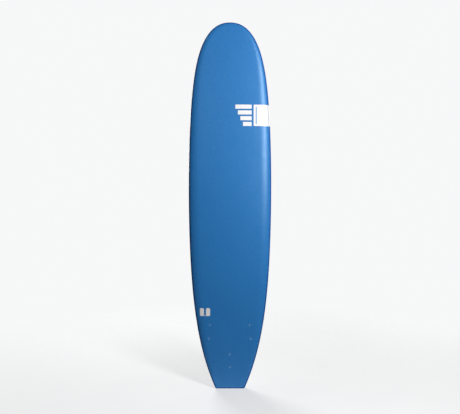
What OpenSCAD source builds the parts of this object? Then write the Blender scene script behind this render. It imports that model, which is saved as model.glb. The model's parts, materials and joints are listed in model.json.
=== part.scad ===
// Soft-top longboard, 8 ft 6 in long.
// Frame: Z runs along the board from the tail to the nose, X across it, and Y through
// its thickness. The deck faces -Y and the bottom faces +Y. The origin is the centre
// of the flat end of the tail. Left (-X) and right (+X) are the rider's, facing the nose.

/* [Board] */
// Length from the tail end to the nose tip
board_len = 2590.8; // [2300:0.1:2900]
// Greatest width
board_w = 595; // [540:1:640]
// Place of the greatest width, as a share of the length from the tail
wide_at = 0.557; // [0.53:0.001:0.58]
// How fast the outline starts to narrow behind the wide point
tail_taper = 0.279; // [0.25:0.001:0.30]
// How fast the outline narrows in the tail third
tail_pull = 0.310; // [0.28:0.001:0.33]
// How fast the outline narrows in the last stretch before the tail
tail_tuck = 0.066; // [0.04:0.001:0.08]
// Fullness of the nose outline along the board
nose_full = 5.7; // [5.0:0.1:6.4]
// Roundness of the nose tip
nose_round = 2.22; // [2.1:0.01:2.4]
// Share of the nose outline that is a plain ellipse
nose_ellipse = 0.507; // [0.45:0.001:0.56]
// Rounding of the two tail corners, seen from the deck
corner_r = 10; // [5:0.5:14]

/* [Thickness and rocker] */
// Thickness at the middle
mid_t = 86; // [76:1:92]
// Thickness at the tail end
tail_t = 34; // [32:1:40]
// Thickness just behind the nose tip
nose_t = 31; // [30:1:40]
// Place of the greatest thickness, as a share of the length from the tail
thick_at = 0.52; // [0.48:0.01:0.56]
// Lift of the tail end above the flat middle of the bottom
tail_rocker = 52; // [30:1:70]
// Lift of the nose tip above the flat middle of the bottom
nose_rocker = 118; // [90:1:150]
// Height of the rail's widest line above the bottom, as a share of the thickness
rail_line = 0.45; // [0.42:0.01:0.50]
// Drop of the deck from its centre line to its sides
deck_crown = 9; // [5:0.5:12]
// Width over which the deck rolls down into the rail, at the middle
deck_roll = 85; // [70:1:95]
// Width over which the bottom turns up into the rail, at the middle
bottom_roll = 26; // [22:1:32]

/* [Skins] */
// Thickness of the foam skin on the deck, the rails and the bottom
skin_t = 5; // [4:0.5:6]
// Thickness of the hard plastic sheet on the bottom
slick_t = 1; // [0.8:0.1:1.2]
// Distance from the outline to the seam in the deck
deck_seam = 10; // [8:0.5:12]
// Distance from the outline to the seam in the bottom, at the widest point
bottom_seam = 20; // [16:0.5:22]
// Distance from the outline to the seam in the bottom, at the nose
nose_seam = 14; // [11:0.5:15]
// Distance from the outline to the seam in the bottom, at the tail
tail_seam = 18.5; // [12:0.5:20]
// Width of foam left showing between the rail and the plastic sheet
foam_strip = 6; // [4:0.5:7]
// Thickness of the glass-fibre laminate
glass_t = 0.9; // [0.7:0.1:1.2]
// Glue line between bonded pieces
glue = 0.1; // [0.08:0.01:0.15]

/* [Stringers] */
// Thickness of each wooden stringer
stringer_t = 4; // [3:0.5:6]
// Distance of the side stringers from the centre line
stringer_x = 95; // [85:1:102]

/* [Fin fixings] */
// Outside radius of a fin sleeve
sleeve_r = 6; // [5.5:0.1:6.5]
// Radius of the bolt hole through a sleeve and its deck ferrule
bolt_r = 3.5; // [3:0.1:3.6]
// Radius of the ferrule's flange in the deck
flange_r = 8; // [7.5:0.1:9]
// Thickness of the ferrule's flange
flange_t = 1.6; // [1.4:0.1:2.2]
// Length of the ferrule's spigot inside the sleeve
spigot_len = 13; // [10:0.5:15]
// Centre fin, rear hole: distance from the tail
centre_rear_z = 152; // [145:1:165]
// Centre fin, front hole: distance from the tail
centre_front_z = 243; // [230:1:255]
// Side fins, rear hole: distance from the tail
side_rear_z = 354; // [345:1:365]
// Side fins, rear hole: distance from the centre line
side_rear_x = 150; // [146:0.5:151]
// Side fins, front hole: distance from the tail
side_front_z = 451; // [440:1:460]
// Side fins, front hole: distance from the centre line
side_front_x = 142; // [138:0.5:145]

/* [Handle] */
// Distance of the handle cup from the centre line
handle_x = 165; // [160:1:178]
// Distance of the handle cup from the tail
handle_z = 1286; // [1270:1:1330]
// Width of the cup's flange
handle_w = 62; // [58:1:66]
// Length of the cup's flange
handle_l = 124; // [118:1:130]
// Width of the finger well
well_w = 31; // [28:0.5:34]
// Length of the finger well
well_l = 100; // [94:1:104]
// Depth of the finger well below the bottom
well_deep = 32; // [26:1:36]
// Wall thickness of the cup
cup_wall = 2; // [1.8:0.1:2.5]

/* [Hidden] */

half_w = board_w / 2;
wide_z = wide_at * board_len;
nose_len = board_len - wide_z;
short_over = 1;  // how far cutters run past a face
long_over = 20;  // the same, where the face is curved or sloping

function clamp01(t) = min(1, max(0, t));
function ease(t) = let (c = clamp01(t)) c * c * (3 - 2 * c);
function mix(from, to, t) = from + (to - from) * t;
function reversed(list) = [for (i = [len(list) - 1:-1:0]) list[i]];

// ---- Side view: thickness and rocker along the board, from z ----
flat_at = 0.5;  // lowest place of the bottom, as a share of the length
tail_thick_power = 2.4;
nose_thick_power = 2.6;
tail_rocker_power = 2.3;
nose_rocker_power = 2.4;
// Height of the bottom's lowest place, which puts the rail line at y = 0 at the tail end
bottom_y0 = tail_rocker + rail_line * tail_t;

function share(z) = clamp01(z / board_len);
function thick(z) = let (s = share(z))
    s < thick_at
        ? mix(tail_t, mid_t, 1 - pow((thick_at - s) / thick_at, tail_thick_power))
        : mix(nose_t, mid_t, 1 - pow((s - thick_at) / (1 - thick_at), nose_thick_power));
function rocker(z) = let (s = share(z))
    s < flat_at ? tail_rocker * pow((flat_at - s) / flat_at, tail_rocker_power)
                : nose_rocker * pow((s - flat_at) / (1 - flat_at), nose_rocker_power);
function rocker_slope(z) = let (s = share(z))
    s < flat_at
        ? -tail_rocker * tail_rocker_power / (flat_at * board_len)
            * pow((flat_at - s) / flat_at, tail_rocker_power - 1)
        : nose_rocker * nose_rocker_power / ((1 - flat_at) * board_len)
            * pow((s - flat_at) / (1 - flat_at), nose_rocker_power - 1);
function bottom_y(z) = bottom_y0 - rocker(z);
function rail_y(z) = bottom_y(z) - rail_line * thick(z);
function crown(x, z) = deck_crown * thick(z) / mid_t * pow(x / half_w, 2);
function deck_y(x, z) = bottom_y(z) - thick(z) + crown(x, z);

// ---- Plan view: the half width and its slope along the board ----
function tail_share(z) = (wide_z - z) / wide_z;
function nose_share(z) = clamp01((z - wide_z) / nose_len);
function nose_curve(u) = (1 - nose_ellipse) * (1 - pow(u, nose_full)) + nose_ellipse * (1 - u * u);
function half(z) = z < wide_z
    ? let (v = tail_share(z))
      half_w * (1 - tail_taper * v * v - tail_pull * pow(v, 4) - tail_tuck * pow(v, 8))
    : half_w * pow(nose_curve(nose_share(z)), 1 / nose_round);
function half_slope(z) = z < wide_z
    ? let (v = tail_share(z))
      half_w / wide_z
        * (2 * tail_taper * v + 4 * tail_pull * pow(v, 3) + 8 * tail_tuck * pow(v, 7))
    : let (u = nose_share(z))
      -half_w / nose_round * pow(nose_curve(u), 1 / nose_round - 1) / nose_len
        * ((1 - nose_ellipse) * nose_full * pow(u, nose_full - 1) + 2 * nose_ellipse * u);

// ---- Stations up the right side, each [x, z, inward x, inward z, tail block share] ----
// The tail block share is 1 at the tail end and fades to 0 up the board.
corner_rows = 4;
tail_rows = 11;
nose_rows = 8;
tip_rows = 8;
tail_crowding = 1.3;  // above 1, rows close up toward the tail
tip_gap = 0.45;       // last row's gap to the nose tip, in rows
tip_from = 0.75;      // where the tip rows start, as a share of the nose length
lean_fade = 220;      // length over which the corner's lean fades out
block_fade = 150;     // length over which the tail block fades out
aim_in = 60;          // distance from the tail of the point that corner stations aim at

tail_ang = atan(half_slope(0));
corner_x = half(0);
mitre_x = (1 - sin(tail_ang)) / cos(tail_ang);
corner_aim = [corner_x - aim_in * mitre_x, aim_in];

function corner_point(ang) =
    [corner_x - corner_r * mitre_x + corner_r * sin(ang), corner_r - corner_r * cos(ang)];
corner_side = [for (k = [0:corner_rows - 1])
    let (point = corner_point((90 - tail_ang) * k / (corner_rows - 1)),
         inward = (corner_aim - point) / aim_in)
    [point[0], point[1], inward[0], inward[1], 1]];
corner_end = corner_side[corner_rows - 1];
// How far the last corner station's inward direction leans along the outline
corner_lean = corner_end[2] * sin(tail_ang) + corner_end[3] * cos(tail_ang);

function side_station(z) =
    let (slope = half_slope(z),
         norm = sqrt(1 + slope * slope),
         along = corner_lean * (1 - ease(z / lean_fade)))
    [half(z), z, (-1 + along * slope) / norm, (slope + along) / norm, 1 - ease(z / block_fade)];
function tip_z(f) = wide_z + nose_len * (1 - (1 - tip_from) * pow(1 - f, nose_round));
side = concat(
    corner_side,
    [for (k = [1:tail_rows]) side_station(wide_z * pow(k / tail_rows, tail_crowding))],
    [for (k = [1:nose_rows]) side_station(wide_z + nose_len * tip_from * k / nose_rows)],
    [for (k = [1:tip_rows]) side_station(tip_z(k / (tip_rows + tip_gap)))]);
side_count = len(side);

// ---- The whole outline as a loop: tail edge, right side, nose tip, left side ----
columns = 6;
// Place of column j across the board, from -1 at the left to 1 at the right
function across(j) = 2 * j / columns - 1;
outline = concat(
    [for (j = [1:columns - 1]) [across(j) * side[0][0], 0, across(j) * side[0][2], 1, 1]],
    side,
    [[0, board_len, 0, -1, 0]],
    [for (st = reversed(side)) [-st[0], st[1], -st[2], st[3], st[4]]]);
loop_count = len(outline);
nose_index = columns - 1 + side_count;
function right_index(i) = columns - 1 + i;
function left_index(i) = loop_count - 1 - i;

function station_z(station) = station[1];
function tail_block(station) = station[4];
// Place at a distance in from the outline
function inset_x(station, dist) = station[0] + dist * station[2];
function inset_z(station, dist) = station[1] + dist * station[3];

// ---- Rail section: distance in from the outline, against height from the rail line ----
deck_powers = [2.3, 2.1];
bottom_powers = [2.2, 2];
tail_deck_roll = 16;
tail_bottom_roll = 8;
// Half height of the rail's flat side, as a share of the thickness
flat_share = 0.05;
tail_flat_share = 0.25;

// Rings of points inside the outline. Those up to the seam are shares of the seam distance,
// and the deck's others are shares of the way from the seam to the end of the roll.
deck_edge_rings = [0, 0.1, 0.4, 1];
deck_roll_rings = [0.28, 0.6, 1];
bottom_edge_rings = [0, 0.08, 0.33, 0.65, 1];
inner_ring_gap = 8;  // from the bottom's slick ring to its last ring
deck_seam_ring = 3;
bottom_seam_ring = 4;
slick_ring = 5;
rings = 7;

function roll(t, powers) = t >= 1 ? 1 : pow(1 - pow(1 - t, powers[0]), 1 / powers[1]);
function roll_slope(t, powers) = t >= 1 ? 0
    : powers[0] / powers[1] * pow(1 - pow(1 - t, powers[0]), 1 / powers[1] - 1)
      * pow(1 - t, powers[0] - 1);
// Unit normal into the board, as [inward, through the thickness]
function normal_in(dist, reach, height, powers) = dist <= 0 ? [1, 0]
    : let (slope = roll_slope(dist / reach, powers) * height / reach)
      [slope, 1] / sqrt(1 + slope * slope);

function deck_reach(station) =
    mix(deck_roll * thick(station_z(station)) / mid_t, tail_deck_roll, tail_block(station));
function bottom_reach(station) =
    mix(bottom_roll * thick(station_z(station)) / mid_t, tail_bottom_roll, tail_block(station));
function flat_rail(station) =
    thick(station_z(station)) * mix(flat_share, tail_flat_share, tail_block(station));
function seam_in(z) = z < wide_z ? mix(tail_seam, bottom_seam, ease(z / wide_z))
                                 : mix(bottom_seam, nose_seam, ease(nose_share(z)));

// Distance of a ring from the outline; shift moves the seam and slick rings only
function deck_dist(station, ring, shift) = ring <= deck_seam_ring
    ? deck_edge_rings[ring] * deck_seam + (ring == deck_seam_ring ? shift : 0)
    : deck_seam + (deck_reach(station) - deck_seam) * deck_roll_rings[ring - deck_seam_ring - 1];
function bottom_dist(station, ring, shift) = let (seam = seam_in(station_z(station)))
    ring <= bottom_seam_ring
        ? bottom_edge_rings[ring] * seam + (ring == bottom_seam_ring ? shift : 0)
        : seam + foam_strip + (ring == slick_ring ? shift : inner_ring_gap);

// A point of the deck or the bottom on one ring, at a depth below the surface
function deck_point(station, ring, depth, shift = 0) =
    let (reach = deck_reach(station),
         flat = flat_rail(station),
         dist = deck_dist(station, ring, shift),
         z0 = inset_z(station, dist),
         height = (1 - rail_line) * thick(z0) - flat - crown(inset_x(station, dist), z0),
         normal = normal_in(dist, reach, height, deck_powers),
         inset = dist + depth * normal[0],
         z = inset_z(station, inset))
    [inset_x(station, inset),
     rail_y(z) - flat - height * roll(dist / reach, deck_powers) + depth * normal[1],
     z];
function bottom_point(station, ring, depth, shift = 0) =
    let (reach = bottom_reach(station),
         flat = flat_rail(station),
         dist = bottom_dist(station, ring, shift),
         height = rail_line * thick(inset_z(station, dist)) - flat,
         normal = normal_in(dist, reach, height, bottom_powers),
         inset = dist + depth * normal[0],
         z = inset_z(station, inset))
    [inset_x(station, inset),
     rail_y(z) + flat + height * roll(dist / reach, bottom_powers) - depth * normal[1],
     z];
// The deck edge of the rail's flat side, where the two halves of the laminate meet
function flat_point(station, depth, gap) = let (z = inset_z(station, depth))
    [inset_x(station, depth), rail_y(z) - flat_rail(station) + gap, z];

// Rows of points across the deck or the bottom, inside its last ring
function deck_rows(depth) = [for (i = [1:side_count - 1])
    let (end = deck_point(side[i], rings - 1, depth))
    for (j = [1:columns - 1]) let (x = end[0] * across(j))
        [x, deck_y(x, end[2]) + depth, end[2]]];
function bottom_rows(depth) = [for (i = [1:side_count - 1])
    let (end = bottom_point(side[i], rings - 1, depth))
    for (j = [1:columns - 1]) [end[0] * across(j), bottom_y(end[2]) - depth, end[2]]];

// The points of a surface inward from one ring; shift moves that first ring inward
function deck_surface(first, depth, shift = 0) = concat(
    [for (k = [first:rings - 1]) for (station = outline)
        deck_point(station, k, depth, k == first ? shift : 0)],
    deck_rows(depth));
function bottom_surface(first, depth, shift = 0) = concat(
    [for (k = [first:rings - 1]) for (station = outline)
        bottom_point(station, k, depth, k == first ? shift : 0)],
    bottom_rows(depth));
function bottom_and_side_surface(depth, gap) = concat(
    [for (station = outline) flat_point(station, depth, gap)],
    bottom_surface(0, depth));

// ---- Solids from surfaces ----
function quad(a, b, c, d) = [[a, b, c], [a, c, d]];

// Faces of one surface whose points start at base; they face the deck side
function surface_faces(base, ring_count) =
    let (last = base + (ring_count - 1) * loop_count,
         inner = base + ring_count * loop_count,
         at = function (i, j)
            j == 0 ? last + left_index(i)
            : j == columns ? last + right_index(i)
            : i == 0 ? last + j - 1
            : inner + (i - 1) * (columns - 1) + j - 1)
    concat(
        [for (k = [0:ring_count - 2]) for (m = [0:loop_count - 1])
            let (outer = base + k * loop_count,
                 next = outer + loop_count,
                 q = (m + 1) % loop_count)
            each quad(outer + m, next + m, next + q, outer + q)],
        [for (i = [0:side_count - 2]) for (j = [0:columns - 1])
            each quad(at(i, j), at(i + 1, j), at(i + 1, j + 1), at(i, j + 1))],
        [for (j = [0:columns - 1])
            [at(side_count - 1, j), last + nose_index, at(side_count - 1, j + 1)]]);

// A closed solid between a surface on the deck side and one on the bottom side
module between(upper, lower, ring_count) {
    base = len(upper);
    polyhedron(
        points = concat(upper, lower),
        faces = concat(
            surface_faces(0, ring_count),
            [for (face = surface_faces(base, ring_count)) reversed(face)],
            [for (m = [0:loop_count - 1]) let (q = (m + 1) % loop_count)
                each quad(m, q, base + q, base + m)]),
        convexity = 6);
}

// Section of the rail from the deck seam round to the bottom seam
function rail_section(station, depth) = concat(
    [for (k = [deck_seam_ring:-1:0])
        deck_point(station, k, depth, k == deck_seam_ring ? -glue / 2 : 0)],
    [for (k = [0:bottom_seam_ring])
        bottom_point(station, k, depth, k == bottom_seam_ring ? -glue / 2 : 0)]);

// The closed band of foam round the edge of the board
module rail_band(depth) {
    count = 2 * (deck_seam_ring + bottom_seam_ring + 2);
    points = [for (station = outline)
        each concat(rail_section(station, 0), reversed(rail_section(station, depth)))];
    faces = [for (m = [0:loop_count - 1])
        let (here = m * count, next = ((m + 1) % loop_count) * count)
        for (i = [0:count - 1]) let (k = (i + 1) % count)
            each quad(here + i, next + i, next + k, here + k)];
    polyhedron(points = points, faces = faces, convexity = 8);
}

// ---- Fin fixings, each [x, z, z of the middle of its pair] ----
fixing_fn = 48;
spigot_wall = 1.45;
spigot_gap = 0.05;
countersink = 2;  // depth, and widening of the radius
eps = 0.01;

centre_mid_z = (centre_rear_z + centre_front_z) / 2;
side_mid_z = (side_rear_z + side_front_z) / 2;
left_front = [-side_front_x, side_front_z, side_mid_z];
left_rear = [-side_rear_x, side_rear_z, side_mid_z];
right_front = [side_front_x, side_front_z, side_mid_z];
right_rear = [side_rear_x, side_rear_z, side_mid_z];
centre_front = [0, centre_front_z, centre_mid_z];
centre_rear = [0, centre_rear_z, centre_mid_z];
fixings = [left_front, left_rear, right_front, right_rear, centre_front, centre_rear];

// Both fixings of a pair lean with the bottom's slope midway between them
function lean(fixing) = atan(-rocker_slope(fixing[2]));
// Length of the fixing from the bottom face to the deck face, refined from a first estimate
function through(fixing) =
    let (x = fixing[0],
         z = fixing[1],
         ang = lean(fixing),
         estimate = (bottom_y(z) - deck_y(x, z)) / cos(ang))
    (bottom_y(z) - deck_y(x, z + estimate * sin(ang))) / cos(ang);

// Local frame of a fixing: z = 0 in the bottom face, +z out of the bottom
module at_fixing(fixing)
    translate([fixing[0], bottom_y(fixing[1]), fixing[1]])
        rotate([-90 - lean(fixing), 0, 0]) children();

module fixing_holes()
    for (fixing = fixings) at_fixing(fixing)
        translate([0, 0, -through(fixing) - long_over])
            cylinder(r = sleeve_r + glue / 2, h = through(fixing) + 2 * long_over, $fn = fixing_fn);

module flange_pockets()
    for (fixing = fixings) at_fixing(fixing)
        translate([0, 0, -through(fixing) - long_over])
            cylinder(r = flange_r + glue / 2, h = long_over + flange_t + glue, $fn = fixing_fn);

// Tube from the bottom face to the ferrule's flange, with a socket for the spigot
module fin_sleeve(fixing) color([0.13, 0.14, 0.15]) at_fixing(fixing)
    let (length = through(fixing) - flange_t - glue)
    difference() {
        translate([0, 0, -length]) cylinder(r = sleeve_r, h = length, $fn = fixing_fn);
        translate([0, 0, -length - short_over])
            cylinder(r = bolt_r, h = length + 2 * short_over, $fn = fixing_fn);
        translate([0, 0, -length - short_over])
            cylinder(r = bolt_r + spigot_wall + spigot_gap, h = spigot_len + short_over + glue,
                     $fn = fixing_fn);
    }

// Flanged bush, countersunk in the deck face
module deck_ferrule(fixing) color([0.35, 0.56, 0.78]) at_fixing(fixing)
    translate([0, 0, -through(fixing)]) difference() {
        union() {
            cylinder(r = flange_r, h = flange_t, $fn = fixing_fn);
            cylinder(r = bolt_r + spigot_wall, h = flange_t + spigot_len, $fn = fixing_fn);
        }
        translate([0, 0, -short_over])
            cylinder(r = bolt_r, h = flange_t + spigot_len + 2 * short_over, $fn = fixing_fn);
        translate([0, 0, -eps])
            cylinder(r1 = bolt_r + countersink, r2 = bolt_r, h = countersink, $fn = fixing_fn);
    }

// ---- Handle cup ----
flange_corner = 10;
cup_corner = 9;
well_corner = 7;
flange_proud = 1;  // how far the flange stands out of the bottom
rim_proud = 1.8;   // how far the rim of the well stands out of the bottom
flange_gap = 0.2;  // between the flange and the plastic sheet
well_over = 10;    // how far the well's cutter runs out of the bottom
cup_w = well_w + 2 * cup_wall;
cup_l = well_l + 2 * cup_wall;
cup_deep = well_deep + cup_wall;

module round_rect(width, length, radius) {
    square([width - 2 * radius, length], center = true);
    square([width, length - 2 * radius], center = true);
    for (x = [-1, 1]) for (y = [-1, 1])
        translate([x * (width / 2 - radius), y * (length / 2 - radius)])
            circle(r = radius, $fn = 40);
}

// Local frame: z = 0 in the bottom face, +z out of the bottom
module at_handle()
    translate([-handle_x, bottom_y(handle_z), handle_z]) rotate([-90, 0, 0]) children();

module handle_pocket() at_handle()
    translate([0, 0, -cup_deep - glue])
        linear_extrude(height = cup_deep + glue + long_over)
            round_rect(cup_w + 2 * glue, cup_l + 2 * glue, cup_corner + glue);

module handle_cup() color([0.08, 0.08, 0.09]) at_handle() difference() {
    union() {
        translate([0, 0, -slick_t]) linear_extrude(height = slick_t + flange_proud)
            round_rect(handle_w, handle_l, flange_corner);
        translate([0, 0, -cup_deep]) linear_extrude(height = cup_deep + rim_proud)
            round_rect(cup_w, cup_l, cup_corner);
    }
    translate([0, 0, -well_deep]) linear_extrude(height = well_deep + well_over)
        round_rect(well_w, well_l, well_corner);
}

// ---- Skins and laminate, at depths below the board's surface ----
glass_top = skin_t + glue;
glass_under = glass_top + glass_t;
core_top = glass_under + glue;

module deck_skin() color([0.24, 0.49, 0.73]) difference() {
    between(deck_surface(deck_seam_ring, 0, glue / 2),
            deck_surface(deck_seam_ring, skin_t, glue / 2), rings - deck_seam_ring);
    fixing_holes();
    flange_pockets();
}

module rail_skin() color([0.05, 0.34, 0.62]) rail_band(skin_t);

module slick_sheet() color([0.82, 0.82, 0.82]) difference() {
    between(bottom_surface(slick_ring, slick_t), bottom_surface(slick_ring, 0),
            rings - slick_ring);
    fixing_holes();
    at_handle() translate([0, 0, -long_over]) linear_extrude(height = 2 * long_over)
        round_rect(handle_w + 2 * flange_gap, handle_l + 2 * flange_gap,
                   flange_corner + flange_gap);
}

module bottom_foam() color([0.88, 0.82, 0.74]) difference() {
    between(bottom_surface(bottom_seam_ring, skin_t, glue / 2),
            bottom_surface(bottom_seam_ring, slick_t + glue / 2, glue / 2),
            rings - bottom_seam_ring);
    fixing_holes();
    handle_pocket();
}

module deck_laminate() color([0.80, 0.84, 0.78]) difference() {
    between(deck_surface(0, glass_top), deck_surface(0, glass_under), rings);
    fixing_holes();
}

// Also covers the rail's flat side, up to the deck laminate
module bottom_laminate() color([0.78, 0.83, 0.76]) difference() {
    between(bottom_and_side_surface(glass_under, glue),
            bottom_and_side_surface(glass_top, glue), rings + 1);
    fixing_holes();
    handle_pocket();
}

// ---- Core and stringers, cut from one shaped blank ----
slab_over = 10;         // how far a slab runs past the board's outline
slab_y = [-200, 300];   // clears the blank's thickness and rocker
stringer_edge = stringer_t / 2 + glue;

module blank() between(deck_surface(0, core_top), bottom_surface(0, core_top), rings);

// The part of the blank between two x
module blank_slice(x0, x1) intersection() {
    blank();
    translate([x0, slab_y[0], -slab_over])
        cube([x1 - x0, slab_y[1] - slab_y[0], board_len + 2 * slab_over]);
}

module core_piece(x0, x1, has_handle = false) color([0.96, 0.96, 0.94]) difference() {
    blank_slice(x0, x1);
    fixing_holes();
    if (has_handle) handle_pocket();
}
module core_left_outer()
    core_piece(-half_w - slab_over, -stringer_x - stringer_edge, has_handle = true);
module core_left_inner() core_piece(-stringer_x + stringer_edge, -stringer_edge);
module core_right_inner() core_piece(stringer_edge, stringer_x - stringer_edge);
module core_right_outer() core_piece(stringer_x + stringer_edge, half_w + slab_over);

module stringer(x) color([0.80, 0.65, 0.43]) difference() {
    blank_slice(x - stringer_t / 2, x + stringer_t / 2);
    fixing_holes();
}

core_left_outer();
core_left_inner();
core_right_inner();
core_right_outer();
stringer(-stringer_x);  // stringer_left
stringer(0);  // stringer_centre
stringer(stringer_x);  // stringer_right
deck_laminate();
bottom_laminate();
deck_skin();
rail_skin();
bottom_foam();
slick_sheet();
handle_cup();
fin_sleeve(left_front);  // left_fin_sleeve_front
fin_sleeve(left_rear);  // left_fin_sleeve_rear
fin_sleeve(right_front);  // right_fin_sleeve_front
fin_sleeve(right_rear);  // right_fin_sleeve_rear
fin_sleeve(centre_front);  // centre_fin_sleeve_front
fin_sleeve(centre_rear);  // centre_fin_sleeve_rear
deck_ferrule(left_front);  // left_deck_ferrule_front
deck_ferrule(left_rear);  // left_deck_ferrule_rear
deck_ferrule(right_front);  // right_deck_ferrule_front
deck_ferrule(right_rear);  // right_deck_ferrule_rear
deck_ferrule(centre_front);  // centre_deck_ferrule_front
deck_ferrule(centre_rear);  // centre_deck_ferrule_rear
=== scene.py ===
"""A foam-skinned surfboard with a carry grip and six fin fixings, standing on its tail.

X runs across the board, Z from the tail (0) to the nose, and the deck faces -Y.
The closed meshes built here replace the plain CAD pieces, in metres.
"""
import json
import math

import bmesh
import bpy
import numpy as np
from mathutils import Matrix, Vector


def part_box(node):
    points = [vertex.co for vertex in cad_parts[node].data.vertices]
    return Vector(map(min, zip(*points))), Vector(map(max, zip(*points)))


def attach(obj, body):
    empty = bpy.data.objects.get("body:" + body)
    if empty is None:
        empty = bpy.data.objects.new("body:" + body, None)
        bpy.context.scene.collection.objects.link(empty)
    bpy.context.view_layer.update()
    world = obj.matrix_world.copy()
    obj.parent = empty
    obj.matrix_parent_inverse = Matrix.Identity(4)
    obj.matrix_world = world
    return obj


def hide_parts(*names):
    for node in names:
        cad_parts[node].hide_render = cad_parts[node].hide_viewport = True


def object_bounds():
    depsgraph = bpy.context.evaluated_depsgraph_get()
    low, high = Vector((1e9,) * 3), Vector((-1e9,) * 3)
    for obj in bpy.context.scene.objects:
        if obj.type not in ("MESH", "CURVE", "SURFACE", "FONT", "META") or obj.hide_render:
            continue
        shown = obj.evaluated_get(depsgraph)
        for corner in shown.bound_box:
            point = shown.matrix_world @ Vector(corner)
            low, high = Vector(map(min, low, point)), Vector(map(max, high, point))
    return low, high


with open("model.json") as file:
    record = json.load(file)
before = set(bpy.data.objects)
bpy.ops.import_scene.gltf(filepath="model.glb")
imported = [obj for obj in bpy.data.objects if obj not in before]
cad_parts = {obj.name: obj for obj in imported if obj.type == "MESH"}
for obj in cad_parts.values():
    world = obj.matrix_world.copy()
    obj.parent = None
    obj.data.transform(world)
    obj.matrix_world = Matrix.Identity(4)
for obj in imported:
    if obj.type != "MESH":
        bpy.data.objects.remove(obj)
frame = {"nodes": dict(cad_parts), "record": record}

cad_lo, cad_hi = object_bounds()          # the CAD box, before anything is hidden or added
MM = 0.001

# ---------------------------------------------------------------------------
# The board's shape
# ---------------------------------------------------------------------------
rail_lo, rail_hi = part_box("rail_skin")
LENGTH = rail_hi.z - rail_lo.z
HALF_WIDTH = (rail_hi.x - rail_lo.x) / 2
WIDE_Z = 0.557 * LENGTH               # where the board is widest

MID_THICK, TAIL_THICK, NOSE_THICK = 86 * MM, 34 * MM, 31 * MM
THICKEST_AT, FLATTEST_AT = 0.52, 0.5  # shares of the length
TAIL_ROCKER, NOSE_ROCKER = 52 * MM, 118 * MM
TAIL_ROCKER_POWER, NOSE_ROCKER_POWER = 2.3, 2.4
RAIL_LINE = 0.45                      # height of the widest line, as a share of the thickness
CROWN = 9 * MM
BOTTOM_Y0 = TAIL_ROCKER + RAIL_LINE * TAIL_THICK

# Plan curve: three terms narrow the tail, and two powers and a blend round the nose
TAPER, PULL, TUCK = 0.279, 0.310, 0.066
NOSE_POWER, NOSE_ROUND, NOSE_BLEND = 5.7, 2.22, 0.507
CORNER_RADIUS, CORNER_REACH = 10 * MM, 60 * MM

# Where the skins meet, as distances in from the outline
DECK_SEAM = 10 * MM
TAIL_SEAM, WIDE_SEAM, NOSE_SEAM = 18.5 * MM, 20 * MM, 14 * MM
STRIP = 6 * MM                        # backing foam left bare beside the seam
GAP = 0.15 * MM                       # clearance on each side of a seam
BACK, WALL = 4.75 * MM, 4.6 * MM      # depths of a skin's back and of the wall's first ring

# Per side: the direction of Y that points out of the board, the reach of the edge roll at
# full thickness and at the tail, and the two powers of the roll's curve
OUT = {"deck": -1, "bottom": 1}
ROLL_REACH = {"deck": (85 * MM, 16 * MM), "bottom": (26 * MM, 8 * MM)}
ROLL_POWERS = {"deck": (2.3, 2.1), "bottom": (2.2, 2)}

# Slight unevenness of the bonded skins, as products of two sine waves:
# height in mm, then x factor, z factor and phase of each wave
WAVES = {
    "deck": [(0.10, 23, 9, 0.6, -6, 11, 1.1),
             (0.07, 47, -15, 2.0, 0, 29, 0.4),
             (0.035, 83, 37, 0, -21, 61, 1.7)],
    "bottom": [(0.11, 21, -5, 0.9, 7, 8.5, 0.3),
               (0.085, 52, 11, 2.2, -9, 19, 1.9),
               (0.030, 97, -23, 0.5, 31, 43, 0)],
}


def mix(a, b, t):
    return a + (b - a) * t


def ease(t):
    c = np.clip(t, 0, 1)
    return c * c * (3 - 2 * c)


def end_shares(z, split):
    """How far z is from the split to the tail and to the nose, each from 0 to 1."""
    s = np.clip(np.asarray(z, float) / LENGTH, 0, 1)
    return np.clip((split - s) / split, 0, 1), np.clip((s - split) / (1 - split), 0, 1)


def thick(z):
    tail, nose = end_shares(z, THICKEST_AT)
    return np.where(tail > 0,
                    TAIL_THICK + (MID_THICK - TAIL_THICK) * (1 - np.power(tail, 2.4)),
                    NOSE_THICK + (MID_THICK - NOSE_THICK) * (1 - np.power(nose, 2.6)))


def rocker(z):
    tail, nose = end_shares(z, FLATTEST_AT)
    return (TAIL_ROCKER * np.power(tail, TAIL_ROCKER_POWER)
            + NOSE_ROCKER * np.power(nose, NOSE_ROCKER_POWER))


def rocker_slope(z):
    tail, nose = end_shares(z, FLATTEST_AT)
    p, q = TAIL_ROCKER_POWER, NOSE_ROCKER_POWER
    return (-TAIL_ROCKER * p / (FLATTEST_AT * LENGTH) * np.power(tail, p - 1)
            + NOSE_ROCKER * q / ((1 - FLATTEST_AT) * LENGTH) * np.power(nose, q - 1))


def bottom_y(z):
    return BOTTOM_Y0 - rocker(z)


def rail_y(z):
    return bottom_y(z) - RAIL_LINE * thick(z)


def crown(x, z):
    return CROWN * thick(z) / MID_THICK * (np.asarray(x) / HALF_WIDTH) ** 2


def deck_y(x, z):
    return bottom_y(z) - thick(z) + crown(x, z)


def nose_curve(u):
    return (1 - NOSE_BLEND) * (1 - np.power(u, NOSE_POWER)) + NOSE_BLEND * (1 - u * u)


def half(z):
    """Half of the width at z."""
    z = np.asarray(z, float)
    v = np.clip((WIDE_Z - z) / WIDE_Z, 0, 1)
    tail = HALF_WIDTH * (1 - TAPER * v ** 2 - PULL * v ** 4 - TUCK * v ** 8)
    u = np.clip((z - WIDE_Z) / (LENGTH - WIDE_Z), 0, 1)
    nose = HALF_WIDTH * np.power(np.clip(nose_curve(u), 0, None), 1 / NOSE_ROUND)
    return np.where(z < WIDE_Z, tail, nose)


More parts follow.
